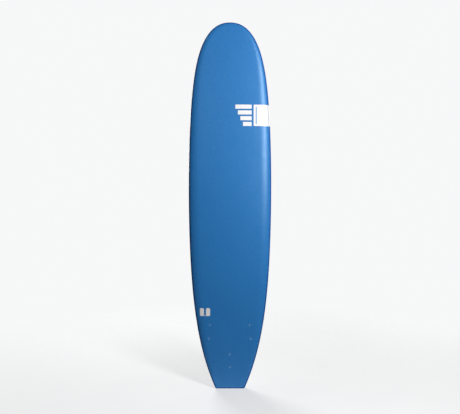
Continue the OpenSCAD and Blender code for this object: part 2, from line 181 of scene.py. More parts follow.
def half_slope(z):
    z = np.asarray(z, float)
    v = np.clip((WIDE_Z - z) / WIDE_Z, 0, 1)
    tail = HALF_WIDTH / WIDE_Z * (2 * TAPER * v + 4 * PULL * v ** 3 + 8 * TUCK * v ** 7)
    u = np.clip((z - WIDE_Z) / (LENGTH - WIDE_Z), 0, 1 - 1e-9)
    nose = (-HALF_WIDTH / NOSE_ROUND
            * np.power(np.clip(nose_curve(u), 1e-12, None), 1 / NOSE_ROUND - 1)
            / (LENGTH - WIDE_Z)
            * ((1 - NOSE_BLEND) * NOSE_POWER * np.power(u, NOSE_POWER - 1) + 2 * NOSE_BLEND * u))
    return np.where(z < WIDE_Z, tail, nose)


# ---------------------------------------------------------------------------
# Stations round the outline. Columns: x, z, inward direction x, inward direction z,
# and how far the section is that of the squared tail (0 to 1)
# ---------------------------------------------------------------------------
TAIL_ANGLE = math.atan(float(half_slope(0)))
MITRE = (1 - math.sin(TAIL_ANGLE)) / math.cos(TAIL_ANGLE)
TAIL_HALF = float(half(0))
ARC_ROWS, TAIL_ROWS, NOSE_ROWS, TIP_ROWS, COLS = 9, 74, 54, 40, 34
TIP_FROM = 0.75                       # share of the nose curve where the tip's rows begin


def corner_station(angle):
    """A station on the tail corner's arc. All of their inward lines meet in one point."""
    x = TAIL_HALF - CORNER_RADIUS * MITRE + CORNER_RADIUS * math.sin(angle)
    z = CORNER_RADIUS - CORNER_RADIUS * math.cos(angle)
    return [x, z, (TAIL_HALF - CORNER_REACH * MITRE - x) / CORNER_REACH,
            (CORNER_REACH - z) / CORNER_REACH, 1.0]


ARC = np.array([corner_station((math.pi / 2 - TAIL_ANGLE) * k / (ARC_ROWS - 1))
                for k in range(ARC_ROWS)])
ARC_END_Z = ARC[-1, 1]
TAIL_LEAN = ARC[-1, 2] * math.sin(TAIL_ANGLE) + ARC[-1, 3] * math.cos(TAIL_ANGLE)


def side_station(z):
    """Stations of the right rail at heights z."""
    z = np.asarray(z, float)
    slope = half_slope(z)
    size = np.sqrt(1 + slope * slope)
    lean = TAIL_LEAN * (1 - ease(z / 0.220))
    return np.stack([half(z), z, (-1 + lean * slope) / size, (slope + lean) / size,
                     1 - ease(z / 0.150)], -1)


def right_side():
    nose_length = LENGTH - WIDE_Z
    tail = [WIDE_Z * (k / TAIL_ROWS) ** 1.3 for k in range(1, TAIL_ROWS + 1)]
    tail = [z for z in tail if z > ARC_END_Z + 1.5 * MM]
    nose = [WIDE_Z + nose_length * TIP_FROM * k / NOSE_ROWS for k in range(1, NOSE_ROWS + 1)]
    tip = [WIDE_Z + nose_length * (1 - (1 - TIP_FROM) * (1 - k / (TIP_ROWS + 0.45)) ** NOSE_ROUND)
           for k in range(1, TIP_ROWS + 1)]
    return np.vstack([ARC, side_station(np.array(tail + nose + tip))])


def whole_loop():
    """Across the tail, up the right side, the nose's point, down the left side."""
    f = np.array([2 * j / COLS - 1 for j in range(1, COLS)])
    tail = np.stack([f * SIDE[0, 0], 0 * f, f * SIDE[0, 2], 0 * f + 1, 0 * f + 1], -1)
    left = SIDE[::-1].copy()
    left[:, 0] *= -1
    left[:, 2] *= -1
    return np.vstack([tail, SIDE, [[0, LENGTH, 0, -1, 0]], left])


def fine_outline():
    """The right half of the outline as a fine polyline of x and z."""
    z = np.unique(np.concatenate([
        np.linspace(ARC_END_Z, LENGTH * 0.9, 420),
        LENGTH - 0.1 * LENGTH * (1 - np.linspace(0, 1, 260)) ** 2.2]))
    tail = np.array([[k / 8 * SIDE[0, 0], 0] for k in range(8)])
    return np.vstack([tail, ARC[:, :2], np.stack([half(z), z], -1)])


SIDE = right_side()
ROWS = len(SIDE)
LOOP = whole_loop()
LOOP_COUNT = len(LOOP)
NOSE_INDEX = COLS - 1 + ROWS
OUTLINE = fine_outline()


def outline_distance(points):
    """Distance in plan from the outline, worked out in batches."""
    plan = np.stack([np.abs(points[:, 0]), points[:, 2]], -1)
    start, edge = OUTLINE[:-1], OUTLINE[1:] - OUTLINE[:-1]
    square = np.maximum((edge * edge).sum(1), 1e-18)
    out = np.empty(len(plan))
    for i in range(0, len(plan), 2000):
        away = plan[i:i + 2000, None, :] - start[None]
        t = np.clip((away * edge).sum(2) / square, 0, 1)
        out[i:i + 2000] = np.sqrt(((away - t[..., None] * edge) ** 2).sum(2).min(1))
    return out


# ---------------------------------------------------------------------------
# Points of the skins
# ---------------------------------------------------------------------------
def roll(side, t):
    p, q = ROLL_POWERS[side]
    w = np.clip(1 - t, 0, 1)
    return np.where(t >= 1, 1.0, np.power(np.clip(1 - np.power(w, p), 0, 1), 1 / q))


def roll_slope(side, t):
    p, q = ROLL_POWERS[side]
    w = np.clip(1 - t, 0, 1 - 1e-7)
    curve = np.power(np.clip(1 - np.power(w, p), 1e-12, 1), 1 / q - 1)
    return np.where(t >= 1, 0.0, p / q * curve * np.power(w, p - 1))


def roll_reach(side, z, square):
    reach, tail_reach = ROLL_REACH[side]
    return mix(reach * thick(z) / MID_THICK, tail_reach, square)


def roll_rise(side, x, z, flat):
    """Height of the roll between the flat of the rail and the middle of the skin."""
    if side == "deck":
        return (1 - RAIL_LINE) * thick(z) - flat - crown(x, z)
    return RAIL_LINE * thick(z) - flat


def flat_rail(z, square):
    return thick(z) * mix(0.05, 0.25, square)


def seam_at(z):
    """Distance in from the outline of the seam on the bottom."""
    return np.where(z < WIDE_Z, mix(TAIL_SEAM, WIDE_SEAM, ease(z / WIDE_Z)),
                    mix(WIDE_SEAM, NOSE_SEAM, ease((z - WIDE_Z) / (LENGTH - WIDE_Z))))


def unevenness(side, x, z):
    return MM * sum(size * np.sin(ax * x + az * z + a) * np.sin(bx * x + bz * z + b)
                    for size, ax, az, a, bx, bz, b in WAVES[side])


def fade(side, inset, z):
    """Lets the unevenness die out towards the skin's edge."""
    if side == "deck":
        return ease((inset - DECK_SEAM) / (40 * MM))
    return ease((inset - seam_at(z) - STRIP) / (30 * MM))


def skin_points(side, stations, inset, depth, wavy=False):
    """Points in from the outline by inset, at a depth below the surface of one side.

    inset is a length, one length per station, or a function of the stations.
    """
    x, z, in_x, in_z, square = stations.T
    if callable(inset):
        inset = inset(stations)
    inset = np.broadcast_to(np.asarray(inset, float), x.shape)
    reach, flat = roll_reach(side, z, square), flat_rail(z, square)
    skin_x, skin_z = x + inset * in_x, z + inset * in_z
    rise = roll_rise(side, skin_x, skin_z, flat)
    slope = roll_slope(side, inset / reach) * rise / reach
    size = np.sqrt(1 + slope * slope)
    normal_in = np.where(inset <= 0, 1.0, slope / size)
    normal_y = np.where(inset <= 0, 0.0, 1 / size)
    if wavy:
        depth = depth - unevenness(side, skin_x, skin_z) * fade(side, inset, z)
    moved = inset + depth * normal_in
    z = z + moved * in_z
    out = OUT[side]
    y = (rail_y(z) + out * flat + out * rise * roll(side, inset / reach)
         - out * depth * normal_y)
    return np.stack([x + moved * in_x, y, z], -1)


def middle_rows(side, inset, depth, wavy):
    """Rows of points across the board between the last ring's two sides."""
    f = 2 * np.arange(1, COLS) / COLS - 1
    edge = skin_points(side, SIDE, inset, depth, wavy)
    rows = []
    for i in range(1, ROWS):
        x, z = edge[i, 0] * f, np.full(COLS - 1, edge[i, 2])
        y = deck_y(x, z) if side == "deck" else bottom_y(z)
        rows.append(np.stack([x, y - OUT[side] * depth, z], -1))
    points = np.concatenate(rows)
    if wavy:
        x, z = points[:, 0], points[:, 2]
        inset = outline_distance(points)
        points[:, 1] += OUT[side] * unevenness(side, x, z) * fade(side, inset, z)
    return points


def surface(side, rings, wavy):
    """Closed rings of (inset, depth) from the edge inwards, then rows over the middle."""
    points = [skin_points(side, LOOP, inset, depth, wavy) for inset, depth in rings]
    points.append(middle_rows(side, *rings[-1], wavy))
    return np.concatenate(points)


def surface_faces(base, ring_count, turned):
    last, inner = base + (ring_count - 1) * LOOP_COUNT, base + ring_count * LOOP_COUNT

    def at(i, j):
        if j == 0:
            return last + LOOP_COUNT - 1 - i
        if j == COLS:
            return last + COLS - 1 + i
        if i == 0:
            return last + j - 1
        return inner + (i - 1) * (COLS - 1) + j - 1

    faces = []
    for k in range(ring_count - 1):
        a, b = base + k * LOOP_COUNT, base + (k + 1) * LOOP_COUNT
        for m in range(LOOP_COUNT):
            n = (m + 1) % LOOP_COUNT
            faces.append((a + m, a + n, b + n, b + m))
    for i in range(ROWS - 1):
        for j in range(COLS):
            faces.append((at(i, j), at(i, j + 1), at(i + 1, j + 1), at(i + 1, j)))
    for j in range(COLS):
        faces.append((at(ROWS - 1, j), at(ROWS - 1, j + 1), last + NOSE_INDEX))
    return [f[::-1] for f in faces] if turned else faces


# ---------------------------------------------------------------------------
# Mesh helpers
# ---------------------------------------------------------------------------
def soften(ob, crease_deg=38):
    """Smooth shading, with every edge sharper than crease_deg kept crisp."""
    bm = bmesh.new()
    bm.from_mesh(ob.data)
    bmesh.ops.recalc_face_normals(bm, faces=bm.faces)
    limit = math.radians(crease_deg)
    for face in bm.faces:
        face.smooth = True
    for edge in bm.edges:
        edge.smooth = len(edge.link_faces) == 2 and edge.calc_face_angle(0.0) < limit
    bm.to_mesh(ob.data)
    bm.free()
    ob.data.update()


def new_mesh(name, verts, faces, crease_deg=38):
    mesh = bpy.data.meshes.new(name)
    mesh.from_pydata([tuple(v) for v in np.asarray(verts, float)], [],
                     [tuple(int(i) for i in f) for f in faces])
    mesh.validate()
    mesh.update()
    ob = bpy.data.objects.new(name, mesh)
    bpy.context.scene.collection.objects.link(ob)
    soften(ob, crease_deg)
    return ob


def sheet(name, side, upper, lower, wavy=None):
    """A closed sheet between the rings facing the deck (upper) and the bottom (lower).

    wavy names the one of the two that is uneven.
    """
    top = surface(side, upper, wavy == "upper")
    base = surface(side, lower, wavy == "lower")
    count = len(top)
    faces = surface_faces(0, len(upper), False) + surface_faces(count, len(lower), True)
    for m in range(LOOP_COUNT):
        n = (m + 1) % LOOP_COUNT
        faces.append((m, count + m, count + n, n))
    return new_mesh(name, np.concatenate([top, base]), faces)


def cut(ob, cutters):
    """Takes the cutters out of ob with an exact boolean, and applies it."""
    for cutter in cutters:
        mod = ob.modifiers.new("cut", "BOOLEAN")
        mod.operation = "DIFFERENCE"
        mod.solver = "EXACT"
        mod.object = cutter
    bpy.context.view_layer.update()
    graph = bpy.context.evaluated_depsgraph_get()
    done = bpy.data.meshes.new_from_object(ob.evaluated_get(graph))
    ob.modifiers.clear()
    # A cutter's corner on a mesh line leaves two points in one place: they are made one
    bm = bmesh.new()
    bm.from_mesh(done)
    bmesh.ops.remove_doubles(bm, verts=bm.verts[:], dist=2e-7)
    bm.to_mesh(done)
    bm.free()
    old = ob.data
    ob.data = done
    bpy.data.meshes.remove(old)
    ob.data.name = ob.name
    for cutter in cutters:
        mesh = cutter.data
        bpy.data.objects.remove(cutter)
        bpy.data.meshes.remove(mesh)
    soften(ob)


def place(verts, matrix):
    a = np.array(matrix)
    return np.asarray(verts, float) @ a[:3, :3].T + a[:3, 3]


def lathe(name, profile, matrix, seg=64):
    """A closed ring turned from a closed profile of (radius, height) in mm."""
    count = len(profile)
    angles = 2 * math.pi * np.arange(seg) / seg
    verts = [[r * MM * math.cos(a), r * MM * math.sin(a), z * MM]
             for a in angles for r, z in profile]
    faces = []
    for s in range(seg):
        t = (s + 1) % seg
        for i in range(count):
            j = (i + 1) % count
            faces.append((s * count + i, t * count + i, t * count + j, s * count + j))
    return new_mesh(name, place(verts, matrix), faces)


def circle(radius, seg=64):
    return [(radius * math.cos(a), radius * math.sin(a))
            for a in 2 * math.pi * np.arange(seg) / seg]


def rounded_rect(width, length, radius, steps=10):
    """Points (x, y) round a rectangle centred on the origin. Sizes are in mm."""
    width, length, radius = width * MM, length * MM, radius * MM
    points = []
    for cx, cy, start in ((1, 1, 0), (-1, 1, 90), (-1, -1, 180), (1, -1, 270)):
        for k in range(steps + 1):
            a = math.radians(start + 90 * k / steps)
            points.append((cx * (width / 2 - radius) + radius * math.cos(a),
                           cy * (length / 2 - radius) + radius * math.sin(a)))
    return points


def cutter_prism(ring, z0, z1, matrix):
    count = len(ring)
    verts = [(x, y, z) for z in (z0, z1) for x, y in ring]
    faces = [(i, (i + 1) % count, count + (i + 1) % count, count + i) for i in range(count)]
    faces += [tuple(range(count))[::-1], tuple(range(count, 2 * count))]
    return new_mesh("cutter", place(verts, matrix), faces)


# ---------------------------------------------------------------------------
# Places and sizes of the fin fixings and the carry grip. Sizes are in mm.
# In their frames, local Z points out of the bottom and 0 is its surface.
# ---------------------------------------------------------------------------
FIXINGS = {}                          # name: x, z, z of the pair's middle (metres)
for pair, front_x, front_z, rear_x, rear_z in (
        ("left", -142, 451, -150, 354), ("right", 142, 451, 150, 354),
        ("centre", 0, 243, 0, 152)):
    pair_z = (front_z + rear_z) / 2 * MM
    FIXINGS[pair + "_front"] = (front_x * MM, front_z * MM, pair_z)
    FIXINGS[pair + "_rear"] = (rear_x * MM, rear_z * MM, pair_z)

BORE, SLEEVE_RADIUS, COUNTERBORE = 3.5, 6.0, 5.0
SPIGOT = COUNTERBORE - 0.05
FERRULE_RADIUS, FERRULE_THICK = 8.0, 1.6
FIXING_CLEAR = 0.06

GRIP_Z = 1286 * MM
GRIP_MATRIX = (Matrix.Translation((-165 * MM, float(bottom_y(GRIP_Z)), GRIP_Z))
               @ Matrix.Rotation(-math.pi / 2, 4, "X"))
GRIP_WIDTH, GRIP_LENGTH, GRIP_CORNER = 62.0, 124.0, 10
WELL_WIDTH, WELL_LENGTH, WELL_CORNER = 34.9, 103.9, 9


def lean(fixing):
    return math.atan(-float(rocker_slope(fixing[2])))


def through(fixing):
    """Distance from the bottom to the deck along the leaning fixing."""
    x, z, _ = fixing
    a = lean(fixing)
    bottom = float(bottom_y(z))
    guess = (bottom - float(deck_y(x, z))) / math.cos(a)
    return (bottom - float(deck_y(x, z + guess * math.sin(a)))) / math.cos(a)


def fixing_matrix(fixing):
    x, z, _ = fixing
    return (Matrix.Translation((x, float(bottom_y(z)), z))
            @ Matrix.Rotation(-math.pi / 2 - lean(fixing), 4, "X"))


def fixing_cutters(radius, low, high, from_deck=False):
    """A rod for each fixing, its ends measured from the bottom or from the deck."""
    rods = []
    for fixing in FIXINGS.values():
        base = -through(fixing) if from_deck else 0.0
        rods.append(cutter_prism(circle(radius * MM), base + low * MM, base + high * MM,
                                 fixing_matrix(fixing)))
    return rods


def grip_cutter(width, length, corner, low):
    return cutter_prism(rounded_rect(width, length, corner), low * MM, 8 * MM, GRIP_MATRIX)


# ---------------------------------------------------------------------------
# Materials: node trees in object space, in metres
# ---------------------------------------------------------------------------
MATERIALS = {}


def srgb(red, green, blue):
    def linear(c):
        c /= 255
        return c / 12.92 if c <= 0.04045 else ((c + 0.055) / 1.055) ** 2.4
    return (linear(red), linear(green), linear(blue), 1.0)


def feed(tree, node, inputs):
    """Links or sets the inputs, keyed by name or index."""
    for key, value in inputs.items():
        if isinstance(value, bpy.types.NodeSocket):
            tree.links.new(value, node.inputs[key])
        else:
            node.inputs[key].default_value = value


def add_node(tree, kind, inputs=None, **settings):
    node = tree.nodes.new("ShaderNode" + kind)
    for key, value in settings.items():
        setattr(node, key, value)
    feed(tree, node, inputs or {})
    return node


class Shader:
    """A material under construction. Its methods return output sockets."""

    def __init__(self, name):
        self.name = name
        self.material = bpy.data.materials.new(name)
        self.material.use_nodes = True
        self.tree = self.material.node_tree
        self.tree.nodes.clear()
        self.output = self.node("OutputMaterial")
        self.surface = self.node("BsdfPrincipled")
        self.tree.links.new(self.surface.outputs[0], self.output.inputs[0])
        self.coords = self.node("TexCoord").outputs["Object"]

    def node(self, kind, inputs=None, **settings):
        return add_node(self.tree, kind, inputs, **settings)

    def along(self, z_scale):
        """Coordinates that draw a texture out along the board."""
        return self.node("Mapping", {"Scale": (1, 1, z_scale), "Rotation": (0, 0, 0),
                                     "Vector": self.coords}).outputs[0]

    def noise(self, scale, detail=2.0, rough=0.5, distortion=0.0, coords=None):
        return self.node("TexNoise", {
            "Scale": scale, "Detail": detail, "Roughness": rough, "Distortion": distortion,
            "Vector": coords or self.coords}).outputs["Fac"]

    def cells(self, scale, feature="F1", output="Distance"):
        return self.node("TexVoronoi", {"Scale": scale, "Vector": self.coords},
                         feature=feature).outputs[output]

    def remap(self, value, span=(0.3, 0.7), to=(0, 1)):
        return self.node("MapRange", {"From Min": span[0], "From Max": span[1], "To Min": to[0],
                                      "To Max": to[1], "Value": value}).outputs[0]

    def math(self, operation, a, b):
        return self.node("Math", {0: a, 1: b}, operation=operation).outputs[0]

    def times(self, value, by):
        return self.math("MULTIPLY", value, by)

    def plus(self, value, add):
        return self.math("ADD", value, add)

    def blend(self, factor, a, b):
        # Inputs 6 and 7 and output 2 are the colour sockets of a Mix node
        return self.node("Mix", {0: factor, 6: a, 7: b}, data_type="RGBA").outputs[2]

    def wear(self):
        return self.node("Attribute", attribute_name="wear").outputs["Fac"]

    def bump(self, height, distance, strength, under=None):
        inputs = {"Distance": distance, "Strength": strength, "Height": height}
        if under is not None:
            inputs["Normal"] = under
        return self.node("Bump", inputs).outputs[0]

    def finish(self, **inputs):
        feed(self.tree, self.surface, {k.replace("_", " "): v for k, v in inputs.items()})
        MATERIALS[self.name] = self.material
        return self.material


def foam_skin(name, base, deep, light, rough, specular):
    """Closed-cell foam skin: fine cells, faint mottling, paler scuffs where it turns an edge."""
    s = Shader(name)
    tone = s.remap(s.noise(scale=1.7, detail=3, rough=0.55))
    mottle = s.remap(s.noise(scale=55, detail=3, rough=0.6))
    colour = s.blend(s.times(tone, by=0.35), base, deep)
    colour = s.blend(s.times(mottle, by=0.10), colour, light)
    cells = s.cells(scale=620)
    colour = s.blend(s.remap(cells, span=(0.0, 0.55), to=(0.16, 0.0)), colour, deep)
    wear = s.wear()
    rub = s.remap(s.noise(scale=90, detail=5, rough=0.65, distortion=0.6), span=(0.50, 0.66))
    scuff = s.times(wear, by=s.plus(s.times(rub, by=0.55), add=0.15))
    colour = s.blend(scuff, colour, light)
    roughness = s.remap(s.noise(scale=24, detail=4, rough=0.6), to=rough)
    roughness = s.plus(roughness, add=s.times(rub, by=0.03))
    height = s.plus(s.times(cells, by=0.8),
                    add=s.times(s.noise(scale=1500, detail=2, rough=0.6), by=0.6))
    normal = s.bump(height, distance=0.00022, strength=0.55)
    normal = s.bump(s.noise(scale=38, detail=3), distance=0.0006, strength=0.30, under=normal)
    s.finish(Base_Color=colour, Roughness=roughness, Normal=normal,
             Specular_IOR_Level=specular, Specular_Tint=(0.62, 0.84, 1.0, 1))


def slick_plastic(name):
    """Hard glossy sheet, slightly wavy, with fine scratches along the board."""
    s = Shader(name)
    base, cool, warm = srgb(220, 220, 220), srgb(212, 213, 215), srgb(224, 223, 220)
    worn = srgb(190, 188, 184)
    colour = s.blend(s.remap(s.noise(scale=1.3, detail=3)), base, cool)
    colour = s.blend(s.remap(s.noise(scale=9, detail=4, rough=0.6),
                             span=(0.45, 0.75), to=(0, 0.5)), colour, warm)
    scratches = s.noise(scale=240, detail=4, rough=0.6, coords=s.along(z_scale=0.035))
    haze = s.remap(s.noise(scale=4.5, detail=5, rough=0.6, distortion=0.4), span=(0.35, 0.7))
    roughness = s.plus(s.remap(haze, span=(0, 1), to=(0.27, 0.38)),
                       add=s.remap(scratches, span=(0.4, 0.7), to=(0.0, 0.03)))
    wear = s.wear()
    patches = s.remap(s.noise(scale=70, detail=4, rough=0.6), span=(0.45, 0.7), to=(0, 0.4))
    colour = s.blend(s.times(wear, by=patches), colour, worn)
    normal = s.bump(s.noise(scale=16, detail=4, rough=0.55, distortion=0.5),
                    distance=0.0011, strength=0.42)
    normal = s.bump(s.noise(scale=48, detail=3, rough=0.6, distortion=0.8),
                    distance=0.0003, strength=0.35, under=normal)
    normal = s.bump(scratches, distance=0.00004, strength=0.35, under=normal)
    normal = s.bump(s.noise(scale=420, detail=3), distance=0.00005, strength=0.5, under=normal)
    s.finish(Base_Color=colour, Roughness=roughness, Normal=normal, Specular_IOR_Level=0.5,
             Coat_Weight=0.12, Coat_Roughness=0.08)


def cream_foam(name):
    s = Shader(name)
    cells = s.cells(scale=900)
    colour = s.blend(s.remap(cells, span=(0, 0.6)), srgb(214, 198, 180), srgb(236, 224, 210))
    colour = s.blend(s.remap(s.noise(scale=60, detail=3), span=(0.4, 0.7), to=(0, 0.35)),
                     colour, srgb(205, 190, 172))
    s.finish(Base_Color=colour,
             Roughness=s.remap(s.noise(scale=200, detail=3), to=(0.78, 0.92)),
             Normal=s.bump(cells, distance=0.0005, strength=0.6))


def moulded(name, base, light, rough, grain=1.0):
    """Moulded plastic with a fine grain and paler worn edges."""
    s = Shader(name)
    fine = s.noise(scale=1900, detail=4, rough=0.7)
    cells = s.cells(scale=1300, feature="SMOOTH_F1")
    colour = s.blend(s.remap(s.noise(scale=45, detail=4, rough=0.6),
                             span=(0.35, 0.7), to=(0, 0.35)), base, light)
    worn = s.times(s.wear(), by=s.remap(s.noise(scale=260, detail=4),
                                        span=(0.42, 0.66), to=(0, 0.5)))
    colour = s.blend(worn, colour, light)
    roughness = s.remap(s.noise(scale=120, detail=4), to=(rough - 0.06, rough + 0.08))
    normal = s.bump(s.plus(fine, add=cells), distance=0.00012 * grain, strength=0.5)
    s.finish(Base_Color=colour, Roughness=roughness, Normal=normal, Specular_IOR_Level=0.4)


def bead_foam(name):
    """Expanded foam: packed white beads with darker lines between them."""
    s = Shader(name)
    edge = s.cells(scale=290, feature="DISTANCE_TO_EDGE")
    cell = s.cells(scale=290, output="Color")
    colour = s.blend(s.remap(edge, span=(0, 0.05)), srgb(198, 198, 194), srgb(243, 243, 240))
    colour = s.blend(factor=0.06, a=colour, b=cell)
    normal = s.bump(s.remap(edge, span=(0, 0.25)), distance=0.0006, strength=0.7)
    s.finish(Base_Color=colour, Normal=normal,
             Roughness=s.remap(s.noise(scale=300, detail=3), to=(0.62, 0.8)))


def raw_wood(name):
    s = Shader(name)
    rings = s.noise(scale=120, detail=5, rough=0.6, distortion=0.8,
                    coords=s.along(z_scale=0.045))
    pores = s.noise(scale=900, detail=4, rough=0.6, coords=s.along(z_scale=0.02))
    colour = s.blend(s.remap(rings, span=(0.32, 0.68)), srgb(216, 182, 134), srgb(168, 124, 78))
    colour = s.blend(s.remap(pores, span=(0.55, 0.75), to=(0, 0.5)), colour, srgb(120, 84, 50))
    s.finish(Base_Color=colour, Roughness=s.remap(rings, to=(0.5, 0.68)),
             Normal=s.bump(pores, distance=0.0003, strength=0.6))


def glass_cloth(name):
    """Resin over woven glass cloth."""
    s = Shader(name)
    warp, weft = [s.node("TexWave", {"Scale": 190, "Distortion": 0.4, "Vector": s.coords},
                         wave_type="BANDS", bands_direction=axis).outputs["Fac"]
                  for axis in ("X", "Z")]
    weave = s.times(warp, by=weft)
    colour = s.blend(s.remap(weave, span=(0, 1)), srgb(190, 198, 184), srgb(222, 226, 214))
    colour = s.blend(s.remap(s.noise(scale=12, detail=4), span=(0.4, 0.7), to=(0, 0.3)),
                     colour, srgb(200, 204, 176))
    s.finish(Base_Color=colour,
             Roughness=s.remap(s.noise(scale=30, detail=3), to=(0.18, 0.32)),
             Normal=s.bump(weave, distance=0.0002, strength=0.5),
             Coat_Weight=0.4, Coat_Roughness=0.1)


def ink(name, base, dull, rough=0.42, cell_scale=620, cracks=0.25):
    """Printed ink on a skin: takes the skin's grain, slightly thin in places."""
    s = Shader(name)
    cells = s.cells(scale=cell_scale)
    colour = s.blend(s.remap(cells, span=(0, 0.5), to=(cracks * 0.5, 0)), base, dull)
    colour = s.blend(s.remap(s.noise(scale=34, detail=5, rough=0.65),
                             span=(0.5, 0.75), to=(0, cracks)), colour, dull)
    roughness = s.remap(s.noise(scale=60, detail=4), to=(rough - 0.05, rough + 0.06))
    height = s.plus(s.times(cells, by=0.8),
                    add=s.times(s.noise(scale=1500, detail=2), by=0.5))
    s.finish(Base_Color=colour, Roughness=roughness, Specular_IOR_Level=0.4,
             Normal=s.bump(height, distance=0.00018, strength=0.5))


foam_skin("deck_foam", base=srgb(37, 117, 185), deep=srgb(31, 108, 175),
          light=srgb(100, 158, 212), rough=(0.32, 0.39), specular=0.5)
foam_skin("rail_foam", base=srgb(6, 86, 164), deep=srgb(3, 76, 150),
          light=srgb(64, 134, 200), rough=(0.36, 0.46), specular=0.28)
slick_plastic("slick")
cream_foam("backing_foam")
moulded("grip_plastic", base=srgb(20, 20, 21), light=srgb(58, 58, 60), rough=0.46, grain=1.4)
moulded("sleeve_plastic", base=srgb(44, 46, 48), light=srgb(92, 94, 96), rough=0.5)
# Ferrules: a paler blue than the deck, partly the plastic's own colour and partly a painted
# highlight, so that the fixings show as pale dots on the deck
moulded("ferrule_plastic", base=srgb(84, 152, 214), light=srgb(126, 180, 226),
        rough=0.40, grain=0.6)
bead_foam("core_foam")
raw_wood("stringer_wood")
glass_cloth("glass_fibre")
ink("ink_white", base=srgb(238, 236, 234), dull=srgb(214, 216, 220))
ink("ink_blue", base=srgb(92, 152, 212), dull=srgb(120, 170, 220))
ink("ink_dark", base=srgb(58, 59, 61), dull=srgb(96, 97, 99),
    rough=0.40, cell_scale=900, cracks=0.15)

# Every CAD node gets the material of its slot; finer pieces then replace the visible ones
for part in frame["record"]["subparts"]:
    node_data = frame["nodes"][part["node"]].data
    node_data.materials.clear()
    node_data.materials.append(MATERIALS[part["material_slot"]])


def dress(ob, material, wear=0.0):
    """Material and wear, which is a number or a function of the points."""
    ob.data.materials.clear()
    ob.data.materials.append(MATERIALS[material])
    points = np.zeros(len(ob.data.vertices) * 3)
    ob.data.vertices.foreach_get("co", points)
    points = points.reshape(-1, 3)
    values = wear(points) if callable(wear) else np.full(len(points), wear)
    attribute = ob.data.attributes.new("wear", "FLOAT", "POINT")
    attribute.data.foreach_set("value", np.asarray(values, np.float32))
    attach(ob, "root")


def replace_cad(ob, slot, wear=0.0):
    """Dresses a fine piece and puts it in place of the CAD node it is named after."""
    dress(ob, slot, wear)
    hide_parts(ob.name.removesuffix("_fine"))


# ---------------------------------------------------------------------------
# The skins
# ---------------------------------------------------------------------------
DECK_LIP, RAIL_LIP = 1.2 * MM, 1.0 * MM


def lip(radius):
    """(setback, depth) up the wall of a seam and round over its lip."""
    steps = [(0.0, WALL), (0.0, radius)]
    for k in range(1, 6):
        a = math.radians(18 * k)
        steps.append((radius * (1 - math.cos(a)), radius * (1 - math.sin(a))))
    return steps


def build_deck(rings=26, back_rings=6):
    seam = DECK_SEAM + GAP

    def to_reach(t):
        """Inset at a share t of the way from the lip to the end of the edge roll."""
        return lambda stations: mix(seam + DECK_LIP,
                                    roll_reach("deck", stations[:, 1], stations[:, 4]), t)

    def wear(p):
        d = outline_distance(p)
        return (np.clip(1 - (d - DECK_SEAM) / (7 * MM), 0, 1) * 0.9
                + 0.25 * np.clip(1 - p[:, 2] / 0.12, 0, 1))

    outer = [(seam + setback, depth) for setback, depth in lip(DECK_LIP)]
    outer += [(to_reach((k / rings) ** 1.35), 0.0) for k in range(1, rings + 1)]
    inner = [(seam, BACK)]
    inner += [(to_reach((k / back_rings) ** 1.2), BACK) for k in range(1, back_rings + 1)]
    deck = sheet("deck_skin_fine", "deck", outer, inner, wavy="upper")
    cut(deck, fixing_cutters(FERRULE_RADIUS + FIXING_CLEAR, low=-8, high=12, from_deck=True))
    replace_cad(deck, "deck_foam", wear)


def build_rail(turn_rows=14):
    """The rail strip: one closed band round the whole outline."""
    seam = seam_at(LOOP[:, 1])
    deck_edge, bottom_edge = DECK_SEAM - GAP, seam - GAP
    turn = [(k / turn_rows) ** 1.9 for k in range(turn_rows)]
    edge = lip(RAIL_LIP)
    section = [("deck", deck_edge - setback, depth) for setback, depth in edge]
    section += [("deck", (deck_edge - RAIL_LIP) * t, 0.0) for t in turn[::-1]]
    section += [("bottom", (bottom_edge - RAIL_LIP) * t, 0.0) for t in turn]
    section += [("bottom", bottom_edge - setback, depth) for setback, depth in edge[::-1]]
    section += [("bottom", inset, BACK) for inset in (bottom_edge, seam * 0.5, seam * 0.12, 0)]
    section += [("deck", inset, BACK) for inset in (0, 1.2 * MM, 5 * MM, deck_edge)]
    rings = [skin_points(side, LOOP, inset, depth) for side, inset, depth in section]
    count = len(rings)
    faces = []
    for m in range(LOOP_COUNT):
        a, b = m * count, ((m + 1) % LOOP_COUNT) * count
        for i in range(count):
            k = (i + 1) % count
            faces.append((a + i, b + i, b + k, a + k))

    def wear(p):
        near_tail = np.clip(1 - p[:, 2] / 0.03, 0, 1)
        height = (p[:, 1] - rail_y(p[:, 2])) / thick(p[:, 2])
        return 0.5 * near_tail + 0.5 * np.clip(1 - np.abs(height + 0.33) / 0.05, 0, 1)

    rail = new_mesh("rail_skin_fine", np.stack(rings, 1).reshape(-1, 3), faces)
    replace_cad(rail, "rail_foam", wear)


def past_seam(start, rows):
    """Rings of the bottom from rows of (distance past seam + start, depth), in mm."""
    return [(lambda stations, d=d: seam_at(stations[:, 1]) + start + d * MM, depth * MM)
            for d, depth in rows]


def build_bottom_foam():
    """The backing foam: a pale line between the rail strip and the hard sheet."""
    outer = past_seam(GAP, [(0, 4.6), (0, 1.3), (0.3, 0.8), (1.0, 0.45), (2.4, 0.30),
                            (4.0, 0.34), (5.0, 0.60), (5.6, 1.06), (9, 1.06), (14, 1.06)])
    inner = past_seam(GAP, [(0, 4.75), (6, 4.75), (14, 4.75)])
    foam = sheet("bottom_foam_fine", "bottom", inner, outer)
    holes = fixing_cutters(SLEEVE_RADIUS + FIXING_CLEAR, low=-12, high=8)
    holes.append(grip_cutter(WELL_WIDTH + 0.7, WELL_LENGTH + 0.7, WELL_CORNER + 0.3, low=-12))
    cut(foam, holes)
    replace_cad(foam, "backing_foam")


